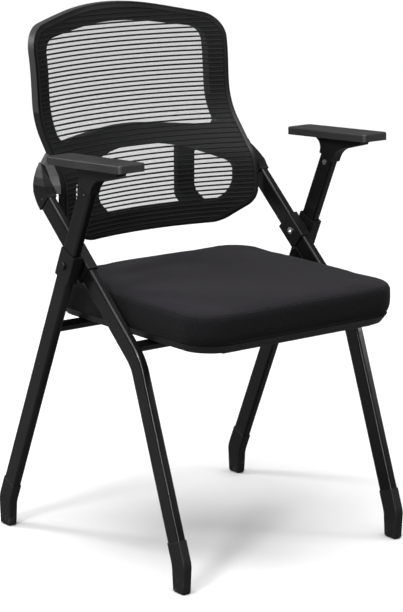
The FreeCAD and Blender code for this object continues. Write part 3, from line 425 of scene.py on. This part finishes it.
def backCloth():
    # rows are closer together where the outline turns, at the foot and below the crest
    cut = {"columns": 96, "foot": (0.0002, 0.001, 0.002, 0.0035), "row": 0.0039, "closeRow": 0.0018,
           "closeFrom": 0.04, "crestFrom": 0.0085, "crest": (0.005, 0.003, 0.0015, 0.0003), "narrowest": 0.004,
           "proud": 0.0007}
    outline = backOutline(net["inset"])
    low = min(point.y for point in outline)
    high = max(point.y for point in outline)
    heights = [low + rise for rise in cut["foot"]]
    while heights[-1] < high - cut["crestFrom"]:
        heights.append(heights[-1] + (cut["row"] if heights[-1] < high - cut["closeFrom"] else cut["closeRow"]))
    heights += [high - drop for drop in cut["crest"]]
    vertices, faces = [], []
    for height in heights:
        width = max(halfWidthAt(outline, height), cut["narrowest"])
        for column in range(cut["columns"] + 1):
            across = width * (2 * column / cut["columns"] - 1)
            vertices.append((across, backFace(across, height, cut["proud"]), height))
    row = cut["columns"] + 1
    for level in range(len(heights) - 1):
        for column in range(cut["columns"]):
            first = level * row + column
            faces.append((first, first + 1, first + row + 1, first + row))
    mesh = bpy.data.meshes.new("backCloth")
    mesh.from_pydata(vertices, [], faces)
    smooth(mesh)
    cloth = newPiece("backCloth", mesh, sheerFinish)
    area = sum(face.area for face in mesh.polygons)
    # its flat size, along the cloth: the widest row and the middle column
    spots = [Vector(vertex) for vertex in vertices]
    wide = max(sum((spots[level * row + column + 1] - spots[level * row + column]).length
                   for column in range(cut["columns"])) for level in range(len(heights)))
    middle = cut["columns"] // 2
    tall = sum((spots[(level + 1) * row + middle] - spots[level * row + middle]).length
               for level in range(len(heights) - 1))
    print("back cloth: %.4f m2, %.4f by %.4f m flat" % (area, wide, tall))
    return cloth, area, (wide, tall)


def ribTree():
    # ribs that follow the lines they are given, taller than they are thick
    wires, shape, given = shapeTree("netRibs", ("ribHalf", "ribThick"))
    lines = wires.add("GeometryNodeMeshToCurve", {}, {"Mesh": shape})
    level = wires.add("GeometryNodeSetCurveNormal", {"mode": "Z_UP"}, {"Curve": lines})
    ring = wires.add("GeometryNodeCurvePrimitiveCircle", {}, {"Resolution": 8, "Radius": 1.0})
    scale = wires.add("ShaderNodeCombineXYZ", {}, {"X": given["ribThick"], "Y": given["ribHalf"], "Z": 1.0})
    oval = wires.add("GeometryNodeTransform", {}, {"Geometry": ring, "Scale": scale})
    solid = wires.add("GeometryNodeCurveToMesh", {}, {"Curve": level, "Profile Curve": oval, "Fill Caps": True})
    return finished(wires, solid, finishes["mesh_fabric"])


def netRibs():
    # lengths of rib as level lines from edge to edge, a pitch apart, which the tree thickens
    trim = {"inset": 0.0006, "foot": 0.003, "crest": 0.002, "ends": 0.0004, "step": 0.0026, "fewest": 8,
            "proud": 0.0009}
    outline = backOutline(net["inset"] + trim["inset"])
    low = min(point.y for point in outline)
    high = max(point.y for point in outline)
    vertices, edges = [], []
    number = math.ceil((low + trim["foot"] - net["firstRib"]) / net["pitch"])
    while net["firstRib"] + number * net["pitch"] < high - trim["crest"]:
        height = net["firstRib"] + number * net["pitch"]
        width = halfWidthAt(outline, height) - trim["ends"]
        steps = max(trim["fewest"], int(width / trim["step"]))
        for step in range(steps + 1):
            across = width * (2 * step / steps - 1)
            if step:
                edges.append((len(vertices) - 1, len(vertices)))
            vertices.append((across, backFace(across, height, trim["proud"]), height))
        number += 1
    mesh = bpy.data.meshes.new("netRibs")
    mesh.from_pydata(vertices, edges, [])
    ribs = grown(newPiece("netRibs", mesh, None), "ribs", ribTree(), net)
    tall = max(v.co.z for v in ribs.data.vertices) - min(v.co.z for v in ribs.data.vertices)
    print("net ribs:", len(ribs.data.polygons), "faces, %.3f m tall" % tall)
    return ribs


cloth, clothArea, clothFlat = backCloth()
ribs = netRibs()
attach(cloth, "front_frame")
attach(ribs, "front_frame")
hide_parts("back_mesh")
print("back net made")


# ---- the cushion ----
cushion = {"halfWidth": 0.2118, "front": -0.2735, "rear": 0.1655, "corner": 0.058, "low": 0.3985, "edge": 0.4462,
           "crown": 0.0075, "seam": 0.4446, "soleIn": 0.012, "soleCorner": 0.050, "leastCorner": 0.006,
           "closing": 3.6, "sink": 0.0008, "soleDepth": 0.001, "voxel": 0.0045}
# its side, as share of the height and how far in from the outline, and the rings of its top, as how far in
cushionSide = ((0.0, 0.0062), (0.06, 0.0036), (0.16, 0.0015), (0.35, 0.0), (0.62, 0.0), (0.82, 0.0003),
               (0.91, 0.0014), (0.97, 0.0036), (1.0, 0.0072))
cushionTop = (0.014, 0.024, 0.036, 0.052, 0.074, 0.100, 0.130, 0.160, 0.190)
# the simulation: its frames and pressure, then how often its movement is evened out and how far it may go
swelling = {"frames": 20, "pressure": 4.0, "stiffness": 22, "quality": 5, "calm": 10, "cap": 0.0042}


def cushionRing(inset, height, corner, count=208):
    left, right = -cushion["halfWidth"] + inset, cushion["halfWidth"] - inset
    front, rear = cushion["front"] + inset, cushion["rear"] - inset
    corners = [(right, front, corner), (right, rear, corner), (left, rear, corner), (left, front, corner)]
    line = roundPath(corners, True, 24)
    lengths = [0.0]
    for first, second in zip(line, line[1:] + line[:1]):
        lengths.append(lengths[-1] + (second - first).length)
    ring, index = [], 0
    for step in range(count):
        goal = lengths[-1] * step / count
        while lengths[index + 1] < goal:
            index += 1
        share = (goal - lengths[index]) / max(lengths[index + 1] - lengths[index], 1e-9)
        spot = line[index].lerp(line[(index + 1) % len(line)], share)
        ring.append((spot.x, spot.y, height))
    return ring


def cushionCrown(across, along):
    middle = (cushion["front"] + cushion["rear"]) / 2
    half = (cushion["rear"] - cushion["front"]) / 2
    wide, deep = abs(across) / cushion["halfWidth"], abs(along - middle) / half
    return cushion["crown"] * (1 - wide ** 3) * (1 - deep ** 3)


def seatCushion():
    tall = cushion["edge"] - cushion["low"]
    rings = [cushionRing(cushion["soleIn"], cushion["low"], cushion["soleCorner"])]
    for share, inset in cushionSide:
        rings.append(cushionRing(inset, cushion["low"] + tall * share, cushion["corner"] - inset / 2))
    for inset in cushionTop:
        corner = max(cushion["leastCorner"], cushion["corner"] - inset / cushion["closing"])
        rings.append([(across, along, cushion["edge"] + cushionCrown(across, along))
                      for across, along, height in cushionRing(inset, 0.0, corner)])
    shape = bmesh.new()
    rows = [[shape.verts.new(point) for point in ring] for ring in rings]
    for lower, upper in zip(rows, rows[1:]):
        for index in range(len(lower)):
            after = (index + 1) % len(lower)
            shape.faces.new((lower[index], lower[after], upper[after], upper[index]))
    shape.faces.new(rows[-1])
    shape.faces.new(list(reversed(rows[0])))
    bmesh.ops.recalc_face_normals(shape, faces=shape.faces)
    mesh = bpy.data.meshes.new("seatCushion")
    shape.to_mesh(mesh)
    shape.free()
    piece = newPiece("seatCushion", mesh, finishes["seat_fabric"])
    remesh = piece.modifiers.new("even", "REMESH")
    remesh.mode = "VOXEL"
    remesh.voxel_size = cushion["voxel"]
    baked(piece)
    rest = [vertex.co.copy() for vertex in piece.data.vertices]
    swell = piece.modifiers.new("swell", "CLOTH")
    swell.settings.use_pressure = True
    swell.settings.uniform_pressure_force = swelling["pressure"]
    swell.settings.effector_weights.gravity = 0.0
    swell.settings.quality = swelling["quality"]
    swell.settings.tension_stiffness = swelling["stiffness"]
    swell.settings.compression_stiffness = swelling["stiffness"]
    swell.point_cache.frame_start = 1
    swell.point_cache.frame_end = swelling["frames"]
    for number in range(1, swelling["frames"] + 1):
        scene.frame_set(number)
    baked(piece)
    scene.frame_set(1)
    moves = [vertex.co - home for vertex, home in zip(piece.data.vertices, rest)]
    near = [[] for vertex in rest]
    for edge in piece.data.edges:
        first, second = edge.vertices
        near[first].append(second)
        near[second].append(first)
    for turn in range(swelling["calm"]):
        moves = [(move + sum((moves[other] for other in near[index]), Vector())) / (len(near[index]) + 1)
                 for index, move in enumerate(moves)]
    for vertex, home, move in zip(piece.data.vertices, rest, moves):
        if move.length > swelling["cap"]:
            vertex.co = home + move.normalized() * swelling["cap"]
        # the underside lies flat on its board
        sole = cushion["low"] - cushion["sink"]
        vertex.co.z = max(vertex.co.z, sole)
        if home.z < cushion["low"] + cushion["soleDepth"]:
            vertex.co = Vector((home.x, home.y, sole))
    finer = piece.modifiers.new("finer", "SUBSURF")
    finer.levels = 1
    finer.render_levels = 1
    baked(piece)
    smooth(piece.data)
    piece.data.materials.clear()
    piece.data.materials.append(finishes["seat_fabric"])
    return piece


seat = seatCushion()
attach(seat, "seat")
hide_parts("seat_cushion")


def stitchTree():
    # short threads laid end to end along the line they are given
    wires, shape, given = shapeTree("seamStitches", ("pitch", "length", "thick"))
    line = wires.add("GeometryNodeMeshToCurve", {}, {"Mesh": shape})
    spots = wires.add("GeometryNodeResampleCurve", {"mode": "LENGTH"}, {"Curve": line, "Length": given["pitch"]})
    tangent = wires.add("GeometryNodeInputTangent")
    turn = wires.add("FunctionNodeAlignRotationToVector", {"axis": "X"}, {"Vector": tangent})
    bead = wires.add("GeometryNodeMeshUVSphere", {}, {"Segments": 8, "Rings": 6, "Radius": 0.5})
    size = wires.add("ShaderNodeCombineXYZ", {}, {"X": given["length"], "Y": given["thick"], "Z": given["thick"]})
    laid = wires.add("GeometryNodeInstanceOnPoints", {},
                     {"Points": spots, "Instance": bead, "Rotation": turn, "Scale": size})
    return finished(wires, laid, seamThread)


def seamStitches(around):
    # the line starts outside the cushion, at its seam, and is dropped inwards onto the skin
    sewn = {"pitch": 0.0042, "length": 0.0031, "thick": 0.0006, "outside": 0.004, "spots": 420}
    skin = BVHTree.FromPolygons([vertex.co for vertex in around.data.vertices],
                                [tuple(face.vertices) for face in around.data.polygons])
    spots = []
    for point in cushionRing(-sewn["outside"], cushion["seam"], cushion["corner"], sewn["spots"]):
        inward = Vector((-point[0], (cushion["front"] + cushion["rear"]) / 2 - point[1], 0)).normalized()
        place, outward, face, reach = skin.ray_cast(Vector(point), inward)
        if place is None:
            place, outward, face, reach = skin.find_nearest(Vector(point))
        spots.append(place)
    count = len(spots)
    mesh = bpy.data.meshes.new("seamStitches")
    mesh.from_pydata(spots, [(index, (index + 1) % count) for index in range(count)], [])
    return grown(newPiece("seamStitches", mesh, None), "stitches", stitchTree(), sewn)


stitches = seamStitches(seat)
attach(stitches, "seat")
print("cushion made:", len(seat.data.polygons), "faces")


# ---- welds where the cross bars meet the tubes ----
welds = {"bead": 0.0014, "ripple": 260.0, "rough": 0.0008}


def weldTree():
    # a rippled ring of weld at each point it is given, standing across the bar
    wires, points, given = shapeTree("weldBead", ("barRadius", "bead"))
    ring = wires.add("GeometryNodeCurvePrimitiveCircle", {}, {"Resolution": 64, "Radius": given["barRadius"]})
    section = wires.add("GeometryNodeCurvePrimitiveCircle", {}, {"Resolution": 10, "Radius": given["bead"]})
    bead = wires.add("GeometryNodeCurveToMesh", {}, {"Curve": ring, "Profile Curve": section})
    ripple = wires.add("ShaderNodeTexNoise", {}, {"Scale": welds["ripple"], "Detail": 1.0}, "Fac")
    outward = wires.add("GeometryNodeInputNormal")
    push = wires.add("ShaderNodeVectorMath", {"operation": "SCALE"},
                     {0: outward, "Scale": (ripple - 0.5) * welds["rough"]})
    rough = wires.add("GeometryNodeSetPosition", {}, {"Geometry": bead, "Offset": push})
    turned = wires.add("GeometryNodeTransform", {}, {"Geometry": rough, "Rotation": (0.0, math.pi / 2, 0.0)})
    placed = wires.add("GeometryNodeInstanceOnPoints", {}, {"Points": points, "Instance": turned})
    return finished(wires, placed, finishes["frame_steel"])


weldGroup = weldTree()


def weldBeads(name, node, leg, body):
    low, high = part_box(node)
    middle = ((low[1] + high[1]) / 2, (low[2] + high[2]) / 2)
    given = dict(welds, barRadius=(high[2] - low[2]) / 2)
    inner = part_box(leg)[0][0]
    print(name, "bar ends %.4f, leg's inner face %.4f, bar radius %.4f" % (high[0], inner, given["barRadius"]))
    mesh = bpy.data.meshes.new(name)
    mesh.from_pydata([(inner, *middle), (-inner, *middle)], [], [])
    beads = grown(newPiece(name, mesh, None), "beads", weldGroup, given)
    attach(beads, body)


weldBeads("frontWelds", "front_cross_bar", "front_leg_left", "front_frame")
weldBeads("rearWelds", "rear_cross_bar", "rear_leg_left", "rear_frame")
print("welds made")


# ---- floor, light and camera ----
def aimed(name, data, place, aim):
    # a lamp or camera at its place, turned towards its aim
    holder = bpy.data.objects.new(name, data)
    scene.collection.objects.link(holder)
    holder.location = place
    holder.rotation_euler = (Vector(aim) - Vector(place)).to_track_quat("-Z", "Y").to_euler()
    return holder


def studio():
    # the floor and the sky look paler to the camera than the light they give
    room = {"floor": 60.0, "seen": 0.845, "bounce": 0.20, "world": 0.15, "middle": (0, 0, 0.45)}
    suns = (("keySun", 2.75, 0.95, (-0.03, -0.16, 1.3)), ("fillSun", 0.66, 1.3, (-0.6, -0.40, 1.15)))
    lamps = (("keyLight", 34.0, 0.5, (-2.3, -0.9, 2.1)), ("sideLight", 9.0, 0.4, (1.9, -1.9, 1.3)),
             ("rimLight", 30.0, 0.6, (-1.5, 1.8, 1.9)))
    mesh = bpy.data.meshes.new("studioFloor")
    half = room["floor"]
    mesh.from_pydata([(-half, -half, 0), (half, -half, 0), (half, half, 0), (-half, half, 0)], [], [(0, 1, 2, 3)])
    floorFinish = Finish("studioFloor")
    direct = floorFinish.add("ShaderNodeLightPath", output="Is Camera Ray")
    pale = floorFinish.blend(direct, grey(room["bounce"]), grey(room["seen"]))
    lit = floorFinish.add("ShaderNodeBsdfDiffuse", {}, {"Color": pale})
    floorFinish.add("ShaderNodeOutputMaterial", {}, {"Surface": lit})
    floor = newPiece("studioFloor", mesh, floorFinish.material)
    world = bpy.data.worlds.new("studioWorld")
    world.use_nodes = True
    scene.world = world
    sky = Finish("studioWorld", world.node_tree)
    direct = sky.add("ShaderNodeLightPath", output="Is Camera Ray")
    strength = direct * (1.0 - room["world"]) + room["world"]
    light = sky.add("ShaderNodeBackground", {}, {"Color": (1, 1, 1, 1), "Strength": strength})
    sky.add("ShaderNodeOutputWorld", {}, {"Surface": light})
    for name, power, angle, spot in suns:
        sun = bpy.data.lights.new(name, "SUN")
        sun.energy = power
        sun.angle = angle
        aimed(name, sun, Vector(), -Vector(spot))
    for name, power, size, spot in lamps:
        lamp = bpy.data.lights.new(name, "AREA")
        lamp.energy = power
        lamp.size = size
        aimed(name, lamp, spot, room["middle"])
    # a tall narrow lamp that only shows as a line along rounded edges
    strip = {"power": 110.0, "wide": 0.22, "tall": 2.8, "place": (-2.1, -1.5, 1.75)}
    lamp = bpy.data.lights.new("edgeLight", "AREA")
    lamp.shape = "RECTANGLE"
    lamp.size = strip["wide"]
    lamp.size_y = strip["tall"]
    lamp.energy = strip["power"]
    aimed("edgeLight", lamp, strip["place"], room["middle"]).visible_diffuse = False
    scene.view_settings.view_transform = "Standard"


def photoCamera():
    view = {"place": (-2.3754, -3.0699, 1.2931), "aim": (0.0, 0.0035, 0.3892), "lens": 140.06}
    lens = bpy.data.cameras.new("photoCamera")
    lens.lens = view["lens"]
    lens.sensor_width = 36.0
    lens.sensor_fit = "AUTO"
    lens.clip_end = 60.0
    scene.camera = aimed("photoCamera", lens, view["place"], view["aim"])


studio()
photoCamera()
